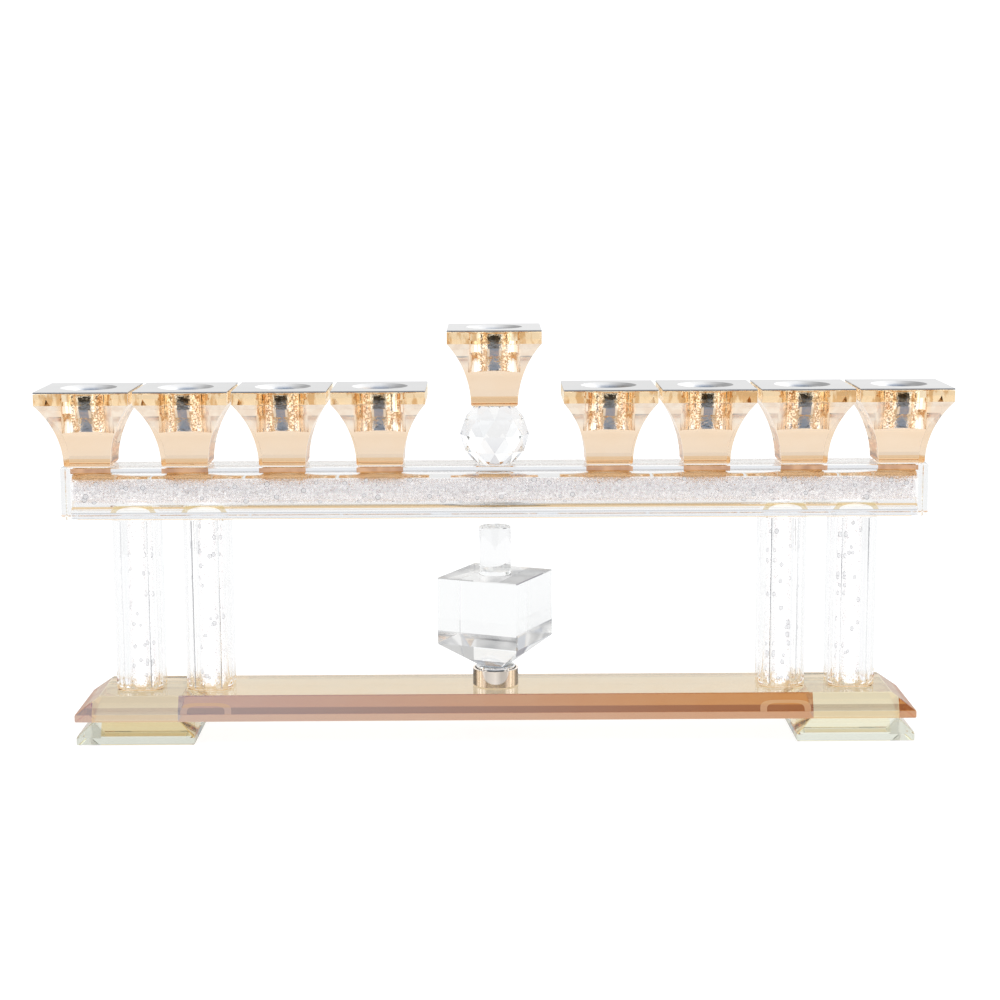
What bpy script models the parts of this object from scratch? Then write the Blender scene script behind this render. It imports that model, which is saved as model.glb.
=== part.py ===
"""Crystal menorah with a free-spinning dreidel, built as separate named pieces.

Metres, +Z up.  The origin is the middle of the plane that the feet stand on, X runs along the row of
candle cups and -Y is the front.  Pieces that are glued together keep the thickness of the glue film
between them.
"""

import math

import bmesh
import bpy
from mathutils import Matrix

GAP = 0.0003                    # glue film, and running clearance between moving pieces
HALF_GAP = GAP / 2
MERGE = 0.00001

# Base slab on its two feet
FOOT_X = 0.1555
FOOT_LENGTH = 0.051
FOOT_DEPTH = 0.044
FOOT_HEIGHT = 0.010
FOOT_EDGE = 0.0035              # height of the upright edge below the bevel
FOOT_BEVEL_X = 0.007
FOOT_BEVEL_Y = 0.004
BASE_LENGTH = 0.363
BASE_DEPTH = 0.0446
BASE_HEIGHT = 0.011
BASE_EDGE = 0.0034
BASE_BEVEL_X = 0.0102
BASE_BEVEL_Y = 0.0039
BASE_TOP = FOOT_HEIGHT + BASE_HEIGHT

# Columns: square tubes with flattened corners and a round bore full of crystal beads
COLUMN_X = (-0.1555, -0.125, 0.125, 0.1555)
COLUMN_WIDTH = 0.020
COLUMN_CORNER = 0.004
COLUMN_BORE = 0.015
COLUMN_HEIGHT = 0.0753

# Beam: a bored bar full of crystal beads, closed by a cap at each end
BEAM_LENGTH = 0.373
BEAM_DEPTH = 0.020
BEAM_HEIGHT = 0.023
BEAM_BORE = 0.017
BEAM_CAP = 0.0045
BEAM_BOTTOM = BASE_TOP + COLUMN_HEIGHT
BEAM_TOP = BEAM_BOTTOM + BEAM_HEIGHT

# Candle cups: a square head over four hollow-ground sides
CUP_PITCH = 0.04176
CUP_FIRST_X = 0.04927
CUPS_PER_SIDE = 4
CUP_HEIGHT = 0.0335             # from the cup's foot to the top of its metal plate
CUP_HEAD_HALF = 0.020
CUP_FOOT_HALF = 0.0100
CUP_FOOT_ROUND = 0.0010         # radius round the foot
CUP_HOLLOW_HEIGHT = 0.0277      # height of the hollow-ground part
CUP_HOLLOW_STEPS = 12

# Candle insert: a square plate with a drawn socket
PLATE_HALF = 0.020
PLATE_THICKNESS = 0.0007
SOCKET_RIM = 0.013
SOCKET_RADIUS = 0.0102
SOCKET_DEPTH = 0.0168
SOCKET_STEPS = 32

# Faceted ball that lifts the middle cup
BALL_RADIUS = 0.015
BALL_HEIGHT = 0.0253            # between its two ground flats
BALL_FACETS = 10                # facets round each row
SHAMASH_FOOT = BEAM_TOP + BALL_HEIGHT

# Dreidel
DREIDEL_SIDE = 0.038
DREIDEL_BOTTOM = 0.0410         # where the straight sides end and the point begins
DREIDEL_TOP = 0.0704
DREIDEL_TIP_Z = 0.0300
DREIDEL_TIP_SIDE = 0.011
DREIDEL_TURN = math.radians(-25)
STEM_RADIUS = 0.0069
STEM_TOP = 0.0914

# Ball-bearing swivel under the dreidel
SWIVEL_RADIUS = 0.010
SWIVEL_WALL = 0.001
SWIVEL_RIM_Z = 0.0286
RACE_RADIUS = 0.0056            # circle that the balls run on
RACE_BALL = 0.0015              # radius of one ball
RACE_Z = 0.0246                 # height of the balls' centres
RACE_LIP = 0.0014               # from the balls' centres up or down to the lips of the grooves
RACE_BALLS = 8
ROTOR_CLEARANCE = 0.0004        # between the rotor's rim and the wall of the housing
ROTOR_RADIUS = SWIVEL_RADIUS - SWIVEL_WALL - ROTOR_CLEARANCE
SPINDLE_RADIUS = 0.0020
SPINDLE_END_Z = 0.0215
CAGE_INNER = 0.0031
CAGE_OUTER = 0.0078
CAGE_THICKNESS = 0.0010

GROUND_EDGE = 0.0004            # flat ground along the sharp edges of the crystal
FINE_EDGE = 0.00015
ROUND_STEPS = 40                # sides of a turned or drilled round
FILL_STEPS = 32                 # sides of a bead fill
POCKET_STEPS = 12
FILLET_STEPS = 3
GROOVE_STEPS = 4
OVERCUT = 0.001                 # how far a cutting shape reaches past the surface it cuts


# ---------------------------------------------------------------- scene and materials

def clear_scene():
    for obj in list(bpy.data.objects):
        bpy.data.objects.remove(obj, do_unlink=True)


def new_collection(name):
    collection = bpy.data.collections.new(name)
    bpy.context.scene.collection.children.link(collection)
    return collection


def material(name, colour, roughness, metallic=0.0, transmission=0.0, ior=1.45):
    mat = bpy.data.materials.new(name)
    mat.use_nodes = True
    shader = mat.node_tree.nodes["Principled BSDF"]
    shader.inputs["Base Color"].default_value = (*colour, 1.0)
    shader.inputs["Roughness"].default_value = roughness
    shader.inputs["Metallic"].default_value = metallic
    shader.inputs["Transmission Weight"].default_value = transmission
    shader.inputs["IOR"].default_value = ior
    mat.diffuse_color = (*colour, 1.0)
    return mat


# ---------------------------------------------------------------- mesh helpers

def mesh_from(bm, name):
    bmesh.ops.recalc_face_normals(bm, faces=bm.faces)
    mesh = bpy.data.meshes.new(name)
    bm.to_mesh(mesh)
    bm.free()
    return mesh


def evaluated(obj):
    """Mesh of a working object with its modifiers applied; the object is removed."""
    depsgraph = bpy.context.evaluated_depsgraph_get()
    mesh = bpy.data.meshes.new_from_object(obj.evaluated_get(depsgraph))
    mesh.name = obj.name
    bpy.data.objects.remove(obj, do_unlink=True)
    return mesh


def facing_out(mesh):
    bm = bmesh.new()
    bm.from_mesh(mesh)
    bmesh.ops.recalc_face_normals(bm, faces=bm.faces)
    bm.to_mesh(mesh)
    bm.free()
    return mesh


def working_object(name, mesh):
    obj = bpy.data.objects.new(name, mesh)
    working.objects.link(obj)
    return obj


def combined(mesh, tool, operation):
    """Mesh of a Boolean between two meshes in the same place."""
    body = working_object(mesh.name, mesh)
    other = working_object(mesh.name + "_tool", tool)
    other.hide_render = True
    other.display_type = "WIRE"
    boolean = body.modifiers.new("Boolean", "BOOLEAN")
    boolean.operation = operation
    boolean.object = other
    result = evaluated(body)
    bpy.data.objects.remove(other, do_unlink=True)
    return result


def bevelled(mesh, width, angle):
    obj = working_object(mesh.name, mesh)
    bevel = obj.modifiers.new("Bevel", "BEVEL")
    bevel.width = width
    bevel.segments = 1
    bevel.limit_method = "ANGLE"
    bevel.angle_limit = math.radians(angle)
    return evaluated(obj)


def turned(name, profile, steps, ring=False):
    """Solid turned from (radius, z) points that run down its outer side, from axis to axis or in a ring."""
    mesh = bpy.data.meshes.new(name)
    points = [(radius, 0.0, z) for radius, z in profile]
    edges = [(i, i + 1) for i in range(len(points) - 1)]
    if ring:
        edges.append((len(points) - 1, 0))
    mesh.from_pydata(points, edges, [])
    obj = working_object(name, mesh)
    screw = obj.modifiers.new("Screw", "SCREW")
    screw.steps = steps
    screw.render_steps = steps
    screw.use_merge_vertices = True
    screw.merge_threshold = MERGE
    return facing_out(evaluated(obj))


def arc(centre_r, centre_z, radius, start, end, steps):
    """Points (r, z) of an arc; angles in degrees from +r towards +z."""
    points = []
    for i in range(steps + 1):
        angle = math.radians(start + (end - start) * i / steps)
        points.append((centre_r + radius * math.cos(angle), centre_z + radius * math.sin(angle)))
    return points


def cylinder(name, radius, low, high, steps=ROUND_STEPS):
    bm = bmesh.new()
    lift = Matrix.Translation((0.0, 0.0, (low + high) / 2))
    bmesh.ops.create_cone(bm, cap_ends=True, segments=steps, radius1=radius, radius2=radius,
                          depth=high - low, matrix=lift)
    return mesh_from(bm, name)


def block(size_x, size_y, low, high):
    bm = bmesh.new()
    bmesh.ops.create_cube(bm, size=1.0)
    bmesh.ops.scale(bm, vec=(size_x, size_y, high - low), verts=bm.verts)
    bmesh.ops.translate(bm, vec=(0.0, 0.0, (low + high) / 2), verts=bm.verts)
    return bm


def tapered_block(name, size_x, size_y, straight_from, straight_to, end_z, end_x, end_y):
    """Block with straight sides that tapers on from straight_to to a smaller flat at end_z."""
    bm = block(size_x, size_y, min(straight_from, straight_to), max(straight_from, straight_to))
    face = min(bm.faces, key=lambda f: abs(f.calc_center_median().z - straight_to))
    grown = bmesh.ops.extrude_face_region(bm, geom=[face])["geom"]
    bmesh.ops.delete(bm, geom=[face], context="FACES_ONLY")
    tip = [item for item in grown if isinstance(item, bmesh.types.BMVert)]
    for vert in tip:
        vert.co.x = math.copysign(end_x / 2, vert.co.x)
        vert.co.y = math.copysign(end_y / 2, vert.co.y)
        vert.co.z = end_z
    return mesh_from(bm, name)


def chamfer_edges(bm, width, wanted):
    """Cuts a flat of the given width along the edges whose direction and middle pass the test."""
    edges = []
    for edge in bm.edges:
        start, end = (vert.co for vert in edge.verts)
        if wanted((end - start).normalized(), (start + end) / 2):
            edges.append(edge)
    bmesh.ops.bevel(bm, geom=edges, offset=width, segments=1, affect="EDGES")


# ---------------------------------------------------------------- placing pieces

def place(name, mesh, mat, location=(0.0, 0.0, 0.0), parent=None, smooth=False):
    if not mesh.materials:
        mesh.materials.append(mat)
    if smooth:
        mesh.shade_smooth()
        mesh.set_sharp_from_angle(angle=math.radians(30))
    obj = bpy.data.objects.new(name, mesh)
    obj.location = location
    menorah.objects.link(obj)
    if parent:
        obj.parent = parent
    return obj


def axis_empty(name, z, turn=0.0):
    empty = bpy.data.objects.new(name, None)
    empty.location = (0.0, 0.0, z)
    empty.rotation_euler = (0.0, 0.0, turn)
    menorah.objects.link(empty)
    return empty


# ---------------------------------------------------------------- base, columns and beam

def add_base():
    slab = tapered_block("base_slab", BASE_LENGTH, BASE_DEPTH, HALF_GAP, BASE_EDGE, BASE_HEIGHT - HALF_GAP,
                         BASE_LENGTH - 2 * BASE_BEVEL_X, BASE_DEPTH - 2 * BASE_BEVEL_Y)
    place("base_slab", bevelled(slab, GROUND_EDGE, 30), amber, (0.0, 0.0, FOOT_HEIGHT))
    foot = tapered_block("foot", FOOT_LENGTH, FOOT_DEPTH, 0.0, FOOT_EDGE, FOOT_HEIGHT - HALF_GAP,
                         FOOT_LENGTH - 2 * FOOT_BEVEL_X, FOOT_DEPTH - 2 * FOOT_BEVEL_Y)
    foot = bevelled(foot, GROUND_EDGE, 30)
    place("foot_left", foot, clear, (-FOOT_X, 0.0, 0.0))
    place("foot_right", foot, clear, (FOOT_X, 0.0, 0.0))


def column_mesh():
    bm = block(COLUMN_WIDTH, COLUMN_WIDTH, HALF_GAP, COLUMN_HEIGHT - HALF_GAP)
    chamfer_edges(bm, COLUMN_CORNER, lambda direction, middle: abs(direction.z) > 0.9)
    outside = bevelled(mesh_from(bm, "column"), GROUND_EDGE, 60)
    bore = cylinder("column_bore", COLUMN_BORE / 2, -GAP, COLUMN_HEIGHT + GAP)
    return combined(outside, bore, "DIFFERENCE")


def add_columns():
    column = column_mesh()
    fill = cylinder("column_fill", COLUMN_BORE / 2 - GAP, GAP, COLUMN_HEIGHT - GAP, FILL_STEPS)
    for number, x in enumerate(COLUMN_X, start=1):
        place(f"column_{number}", column, clear, (x, 0.0, BASE_TOP), smooth=True)
        place(f"column_beads_{number}", fill, beads, (x, 0.0, BASE_TOP), smooth=True)


def beam_section(length, capped_side=0):
    """Bar along X, centred on X = 0; capped_side is the end (-1 or 1) whose rim is ground as well."""
    bm = bmesh.new()
    bmesh.ops.create_cube(bm, size=1.0)
    height = BEAM_HEIGHT - 2 * HALF_GAP
    bmesh.ops.scale(bm, vec=(length, BEAM_DEPTH, height), verts=bm.verts)
    chamfer_edges(bm, GROUND_EDGE, lambda direction, middle:
                  abs(direction.x) > 0.9 or middle.x * capped_side > length / 2 - MERGE)
    return bm


def add_beam():
    bar_length = BEAM_LENGTH - 2 * BEAM_CAP
    middle_z = (BEAM_BOTTOM + BEAM_TOP) / 2
    bar = mesh_from(beam_section(bar_length - 2 * HALF_GAP), "beam_bar")
    along_x = Matrix.Rotation(math.pi / 2, 4, "Y")
    bore = cylinder("beam_bore", BEAM_BORE / 2, -BEAM_LENGTH / 2, BEAM_LENGTH / 2)
    bore.transform(along_x)
    place("beam_bar", combined(bar, bore, "DIFFERENCE"), clear, (0.0, 0.0, middle_z), smooth=True)
    half_fill = bar_length / 2 - GAP
    fill = cylinder("beam_beads", BEAM_BORE / 2 - GAP, -half_fill, half_fill, FILL_STEPS)
    fill.transform(along_x)
    place("beam_beads", fill, beads, (0.0, 0.0, middle_z), smooth=True)
    cap_x = (BEAM_LENGTH - BEAM_CAP) / 2
    for name, side in (("beam_cap_left", -1), ("beam_cap_right", 1)):
        cap = mesh_from(beam_section(BEAM_CAP - HALF_GAP, side), name)
        place(name, cap, clear, (side * (cap_x + HALF_GAP / 2), 0.0, middle_z))


# ---------------------------------------------------------------- candle cups and their metal inserts

def hollow_half_width(height):
    """Half width of the cup at a height above its foot, along the hollow-ground arc."""
    inset = CUP_HEAD_HALF - CUP_FOOT_HALF
    radius = (CUP_HOLLOW_HEIGHT ** 2 + inset ** 2) / (2 * inset)
    return CUP_FOOT_HALF + radius - math.sqrt(radius ** 2 - height ** 2)


def cup_mesh():
    """A four-sided turned shape: each (half width, height) becomes one square level of the cup."""
    top = CUP_HEIGHT - PLATE_THICKNESS - GAP
    levels = [(CUP_HEAD_HALF, top)]
    for i in range(CUP_HOLLOW_STEPS):
        height = CUP_HOLLOW_HEIGHT * (1 - i / CUP_HOLLOW_STEPS)
        levels.append((hollow_half_width(height), height))
    centre = CUP_FOOT_HALF - CUP_FOOT_ROUND
    levels += arc(centre, CUP_FOOT_ROUND + HALF_GAP, CUP_FOOT_ROUND, 0, -90, FILLET_STEPS)
    corner = math.sqrt(2)
    profile = [(0.0, top)]
    profile += [(half * corner, height) for half, height in levels]
    profile.append((0.0, HALF_GAP))
    body = turned("cup", profile, 4)
    body.transform(Matrix.Rotation(math.pi / 4, 4, "Z"))
    body = bevelled(body, GROUND_EDGE, 50)
    return combined(body, well_mesh(), "DIFFERENCE")


def well_mesh():
    """The hole ground into the cup: a straight bore with a 45 degree countersink for the drawn rim."""
    top = CUP_HEIGHT - PLATE_THICKNESS - GAP
    radius = SOCKET_RADIUS + PLATE_THICKNESS + GAP
    bend = SOCKET_RIM - SOCKET_RADIUS - PLATE_THICKNESS - GAP
    bend_z = CUP_HEIGHT - (SOCKET_RIM - SOCKET_RADIUS)
    sink_sum = SOCKET_RIM - bend_z - bend * math.sqrt(2)
    floor = CUP_HEIGHT - SOCKET_DEPTH - PLATE_THICKNESS - GAP
    profile = [
        (0.0, top + OVERCUT),
        (sink_sum + top + OVERCUT, top + OVERCUT),
        (radius, radius - sink_sum),
        (radius, floor),
        (0.0, floor),
    ]
    return turned("cup_well", profile, SOCKET_STEPS)


def drawn_profile(offset, start_z, floor_z):
    """Socket surface, moved outwards by offset: a rounded lip, a straight wall and a flat floor."""
    bend = SOCKET_RIM - SOCKET_RADIUS
    lip = arc(SOCKET_RIM, -bend, bend - offset, 90, 180, FILLET_STEPS)
    return [(0.0, start_z), (SOCKET_RIM, start_z)] + lip + [(SOCKET_RADIUS + offset, floor_z), (0.0, floor_z)]


def insert_mesh():
    """Plate top at z = 0.  The drawn wall has the plate's thickness all the way down."""
    bm = block(2 * PLATE_HALF, 2 * PLATE_HALF, -PLATE_THICKNESS, 0.0)
    chamfer_edges(bm, FINE_EDGE, lambda direction, middle: middle.z > -MERGE or abs(direction.z) > 0.9)
    plate = mesh_from(bm, "candle_insert")
    overlap = PLATE_THICKNESS / 2
    outer = drawn_profile(PLATE_THICKNESS, -overlap, -SOCKET_DEPTH - PLATE_THICKNESS)
    inner = drawn_profile(0.0, OVERCUT, -SOCKET_DEPTH)
    solid = combined(plate, turned("socket_outside", outer, SOCKET_STEPS), "UNION")
    return combined(solid, turned("socket_inside", inner, SOCKET_STEPS), "DIFFERENCE")


def add_cups():
    cup = cup_mesh()
    insert = insert_mesh()
    reach = [CUP_FIRST_X + CUP_PITCH * i for i in range(CUPS_PER_SIDE)]
    row = [-x for x in reversed(reach)] + reach
    spots = [(str(number), x, BEAM_TOP) for number, x in enumerate(row, start=1)]
    spots.append(("shamash", 0.0, SHAMASH_FOOT))
    for label, x, foot_z in spots:
        place(f"cup_{label}", cup, amber, (x, 0.0, foot_z), smooth=True)
        place(f"candle_insert_{label}", insert, chrome, (x, 0.0, foot_z + CUP_HEIGHT), smooth=True)


def add_ball():
    """Rows of triangular facets between two flats; each row of corners is turned half a facet."""
    half = BALL_HEIGHT / 2 - HALF_GAP
    top_angle = math.asin(half / BALL_RADIUS)
    bm = bmesh.new()
    for row in range(-2, 3):
        latitude = top_angle * row / 2
        for i in range(BALL_FACETS):
            angle = 2 * math.pi * (i + 0.5 * (row % 2)) / BALL_FACETS
            radius = BALL_RADIUS * math.cos(latitude)
            bm.verts.new((radius * math.cos(angle), radius * math.sin(angle), BALL_RADIUS * math.sin(latitude)))
    bmesh.ops.convex_hull(bm, input=bm.verts)
    bmesh.ops.dissolve_limit(bm, angle_limit=math.radians(1), verts=bm.verts, edges=bm.edges)
    place("shamash_ball", mesh_from(bm, "shamash_ball"), clear, (0.0, 0.0, BEAM_TOP + BALL_HEIGHT / 2))


# ---------------------------------------------------------------- dreidel and its swivel

def add_dreidel():
    axis = axis_empty("dreidel_axis", DREIDEL_BOTTOM, DREIDEL_TURN)
    body = tapered_block("dreidel_body", DREIDEL_SIDE, DREIDEL_SIDE, DREIDEL_TOP - DREIDEL_BOTTOM, 0.0,
                         DREIDEL_TIP_Z - DREIDEL_BOTTOM, DREIDEL_TIP_SIDE, DREIDEL_TIP_SIDE)
    place("dreidel_body", bevelled(body, GROUND_EDGE, 30), clear, parent=axis)
    stem_foot = DREIDEL_TOP - DREIDEL_BOTTOM + GAP
    stem_top = STEM_TOP - DREIDEL_BOTTOM
    profile = [
        (0.0, stem_top),
        (STEM_RADIUS - GROUND_EDGE, stem_top),
        (STEM_RADIUS, stem_top - GROUND_EDGE),
        (STEM_RADIUS, stem_foot),
        (0.0, stem_foot),
    ]
    place("dreidel_stem", turned("dreidel_stem", profile, ROUND_STEPS), clear, parent=axis, smooth=True)
    return axis


def race_groove(side):
    """Arc of the ball groove from its outer to its inner lip; side is 1 above the balls, -1 below them."""
    lip = math.degrees(math.asin(RACE_LIP / (RACE_BALL + GAP)))
    return arc(RACE_RADIUS, RACE_Z, RACE_BALL + GAP, side * lip, side * (180 - lip), GROOVE_STEPS)


def add_housing():
    foot = BASE_TOP + HALF_GAP
    floor = RACE_Z - RACE_LIP
    inner = SWIVEL_RADIUS - SWIVEL_WALL
    hole = SPINDLE_RADIUS + GAP
    profile = [
        (SWIVEL_RADIUS - FINE_EDGE, SWIVEL_RIM_Z),
        (SWIVEL_RADIUS, SWIVEL_RIM_Z - FINE_EDGE),
        (SWIVEL_RADIUS, foot + FINE_EDGE),
        (SWIVEL_RADIUS - FINE_EDGE, foot),
        (hole, foot),
        (hole, floor),
        *reversed(race_groove(-1)),
        (inner, floor),
        (inner, SWIVEL_RIM_Z),
    ]
    place("swivel_housing", turned("swivel_housing", profile, ROUND_STEPS, ring=True), champagne, smooth=True)


def add_rotor(axis):
    """Steel disc that carries the dreidel, with its spindle down through the housing."""
    top = DREIDEL_TIP_Z - GAP
    underside = RACE_Z + RACE_LIP
    profile = [
        (0.0, top),
        (ROTOR_RADIUS - GROUND_EDGE, top),
        (ROTOR_RADIUS, top - GROUND_EDGE),
        (ROTOR_RADIUS, underside),
        *race_groove(1),
        (SPINDLE_RADIUS, underside),
        (SPINDLE_RADIUS, SPINDLE_END_Z),
        (0.0, SPINDLE_END_Z),
    ]
    rotor = turned("swivel_rotor", profile, ROUND_STEPS)
    rotor.transform(Matrix.Translation((0.0, 0.0, -DREIDEL_BOTTOM)))
    place("swivel_rotor", rotor, chrome, parent=axis, smooth=True)


def add_cage():
    """Ball cage: it rolls round the spindle at half the dreidel's speed, with the balls in its pockets."""
    axis = axis_empty("cage_axis", RACE_Z)
    half = CAGE_THICKNESS / 2
    profile = [(CAGE_OUTER, half), (CAGE_OUTER, -half), (CAGE_INNER, -half), (CAGE_INNER, half)]
    cage = turned("ball_cage", profile, ROUND_STEPS, ring=True)
    ball = bmesh.new()
    bmesh.ops.create_uvsphere(ball, u_segments=10, v_segments=6, radius=RACE_BALL)
    ball = mesh_from(ball, "bearing_ball")
    spots = []
    for i in range(RACE_BALLS):
        angle = 2 * math.pi * i / RACE_BALLS
        spots.append((RACE_RADIUS * math.cos(angle), RACE_RADIUS * math.sin(angle), 0.0))
    for spot in spots:
        pocket = cylinder("pocket", RACE_BALL + GAP, -CAGE_THICKNESS, CAGE_THICKNESS, POCKET_STEPS)
        pocket.transform(Matrix.Translation(spot))
        cage = combined(cage, pocket, "DIFFERENCE")
    place("ball_cage", cage, brass, parent=axis, smooth=True)
    for number, spot in enumerate(spots, start=1):
        place(f"bearing_ball_{number}", ball, steel, spot, parent=axis, smooth=True)


def build():
    add_base()
    add_columns()
    add_beam()
    add_cups()
    add_ball()
    dreidel_axis = add_dreidel()
    add_housing()
    add_rotor(dreidel_axis)
    add_cage()
    bpy.data.collections.remove(working)


clear_scene()
menorah = new_collection("menorah")
working = new_collection("working")
amber = material("amber_crystal", (0.93, 0.76, 0.52), 0.0, transmission=1.0, ior=1.52)
clear = material("clear_crystal", (0.98, 0.99, 0.98), 0.0, transmission=1.0, ior=1.52)
beads = material("crystal_beads", (0.90, 0.90, 0.90), 0.15, transmission=0.6, ior=1.52)
chrome = material("polished_chrome", (0.82, 0.83, 0.84), 0.06, metallic=1.0)
champagne = material("champagne_nickel", (0.80, 0.70, 0.58), 0.12, metallic=1.0)
steel = material("bearing_steel", (0.62, 0.63, 0.65), 0.2, metallic=1.0)
brass = material("cage_brass", (0.72, 0.57, 0.30), 0.25, metallic=1.0)
build()
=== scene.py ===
"""Looks of the crystal menorah: finished glass, metal and crystal-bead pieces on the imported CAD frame.

Metres, +Z up.  X runs along the row of candle cups and -Y is the front.
"""

import math

import bmesh
import bpy
import numpy as np
from mathutils import Matrix, Vector


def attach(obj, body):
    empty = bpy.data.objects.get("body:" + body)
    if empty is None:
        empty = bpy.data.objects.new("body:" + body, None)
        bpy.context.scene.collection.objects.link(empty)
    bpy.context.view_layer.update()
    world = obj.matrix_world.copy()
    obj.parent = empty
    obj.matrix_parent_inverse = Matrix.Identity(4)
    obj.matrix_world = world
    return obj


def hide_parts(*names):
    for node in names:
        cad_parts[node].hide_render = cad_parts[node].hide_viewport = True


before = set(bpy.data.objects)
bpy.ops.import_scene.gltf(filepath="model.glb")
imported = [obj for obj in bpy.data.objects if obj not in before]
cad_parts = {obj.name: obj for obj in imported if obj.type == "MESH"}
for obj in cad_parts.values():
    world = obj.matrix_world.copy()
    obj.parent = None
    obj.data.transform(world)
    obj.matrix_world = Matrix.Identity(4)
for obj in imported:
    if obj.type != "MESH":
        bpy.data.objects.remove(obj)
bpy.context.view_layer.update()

SEED = 8

# Shared sizes of the crystal pieces
GAP = 0.0003
HALF_GAP = GAP / 2
FOOT_X = 0.1555
FOOT_TOP_HALF_X = 0.0185
FOOT_TOP_HALF_Y = 0.0180
FOOT_TOP = 0.010
BASE_TOP = 0.021
COLUMN_X = (-0.1555, -0.125, 0.125, 0.1555)
COLUMN_PAIR_X = (COLUMN_X[2] + COLUMN_X[3]) / 2
COLUMN_PAIR_HALF = (COLUMN_X[3] - COLUMN_X[2]) / 2
COLUMN_HALF = 0.010
COLUMN_CORNER = 0.004
COLUMN_BORE = 0.0075
COLUMN_TOP = 0.0963
BEAM_TOP = 0.1193
BEAM_MIDDLE = 0.1078
BEAM_HALF_DEPTH = 0.010
BEAM_BORE = 0.0085
BAR_END = 0.182
CUP_X = (0.04927, 0.09103, 0.13279, 0.17455)
CUP_PITCH = CUP_X[1] - CUP_X[0]
CUP_HEIGHT = 0.0335
CUP_HEAD_HALF = 0.020
CUP_FOOT_HALF = 0.0100
CUP_FOOT_ROUND = 0.0010
CUP_HOLLOW_HEIGHT = 0.0277
CUP_FLAT_HALF = CUP_FOOT_HALF - CUP_FOOT_ROUND
CUP_OUTSIDE_FROM = 0.0124       # further out than this, a face belongs to a cup's outside, not to its well
CUP_EDGES_FROM = 0.0126
SHAMASH_FOOT = 0.1446
BALL_FLAT = 0.0080
PLATE_HALF = 0.020
PLATE_THICKNESS = 0.0007
SOCKET_RIM = 0.013
SOCKET_RADIUS = 0.0102
SOCKET_DEPTH = 0.0168
DREIDEL_TOP = 0.0704
DREIDEL_WEDGE_LOW = 0.0342
STEM_RADIUS = 0.0069
STEM_TOP = 0.0914
SWIVEL_RADIUS = 0.010
SWIVEL_INNER = 0.009
SWIVEL_RIM_Z = 0.0286
SWIVEL_FLOOR = 0.0232
ROTOR_RADIUS = 0.0086
ROTOR_TOP = 0.0297
ROTOR_UNDERSIDE = 0.0260
SPINDLE_RADIUS = 0.0020
SPINDLE_END = 0.0215
GROUND_EDGE = 0.0004
FINE_EDGE = 0.00015

# The bead fill of a column stops short of the bore, whose wall looks clear
COLUMN_FILL = 0.0062
GRAIN = 0.00095

# Glass: tint is the share of light left after TINT_LENGTH of glass
TINT_LENGTH = 0.019
BASE_TINT = (0.94, 0.75, 0.50)
BASE_FACE_TINT = (0.86, 0.86, 0.84)
CUP_TINT = (0.972, 0.875, 0.755)
CUP_FACE_TINT = (0.87, 0.785, 0.70)
CUP_WAIST_TINT = (0.96, 0.90, 0.83)
CUP_HEAD_PALE = (1.0, 0.96, 0.83)
CUP_HEAD_DEEP = (0.78, 0.60, 0.38)
CUP_BAND_TINT = (0.98, 0.84, 0.66)
CUP_BAND_HEIGHT = 0.0026
SHAMASH_BAND_HEIGHT = 0.0038
CLEAR_TINT = (0.994, 0.997, 0.995)
FOOT_TINT = (0.955, 0.96, 0.915)
CRYSTAL_IOR = 1.52
DEEPEST_TINT = 2.8
DEEPEST_BOUNCE = 16
DEEPEST_IN_GRAINS = 11
WHITE = (1.0, 1.0, 1.0)

# Where reflections lie: on the base by height, on the beam by height above its underside, on the cups by
# height above their feet.  An arch is a half width and a height.
BASE_EDGE_TOP = 0.0134
BASE_LINE_TOP = 0.0160
LINE_BLUR = 0.0003
BASE_ARCH = (0.0110, 0.0046)
# Painted gold reflection of the base on the slopes of the feet: it ends this far outward from a foot's
# middle.
FOOT_GOLD_REFLECTION_END = 0.0150
BEAM_GREY_LINES = ((0.0030, 0.0033), (0.0009, 0.0011), (0.0226, 0.0230))
BEAM_PALE_TOP = 0.0009
BEAM_TOP_EDGE = 0.0225
BEAM_GREY_BETWEEN = (0.0205, 0.0212)
BEAM_BLUE = (0.0011, 0.0030)
BEAM_BLUE_BETWEEN = (0.0212, 0.0226)
BEAM_AMBER = (0.0203, 0.0226)
BEAM_ARC = (0.0033, 0.0063)
BEAM_ARCH = (0.0073, 0.0025)
# Painted gold reflection of the base, low in the beam's bore, by height from the bore's middle.
BORE_GOLD_REFLECTION = (-0.0072, -0.0060)
CUP_WAIST = (0.0221, 0.0256)
CUP_WAIST_LEAN = 0.0048

FLOOR_HALF = 8.0
TABLE_EDGE = 0.47               # distance from the camera to the near edge of the table
SPECK_SCALE = 1250.0

# Camera: place in metres, angles in degrees, lens in millimetres
CAMERA_PLACE = (-0.00264, -0.8919, 0.2436)
CAMERA_TURN = 0.314
CAMERA_PITCH = 8.97
CAMERA_ROLL = -0.241
CAMERA_LENS = 74.786


# --- node arithmetic

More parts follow.
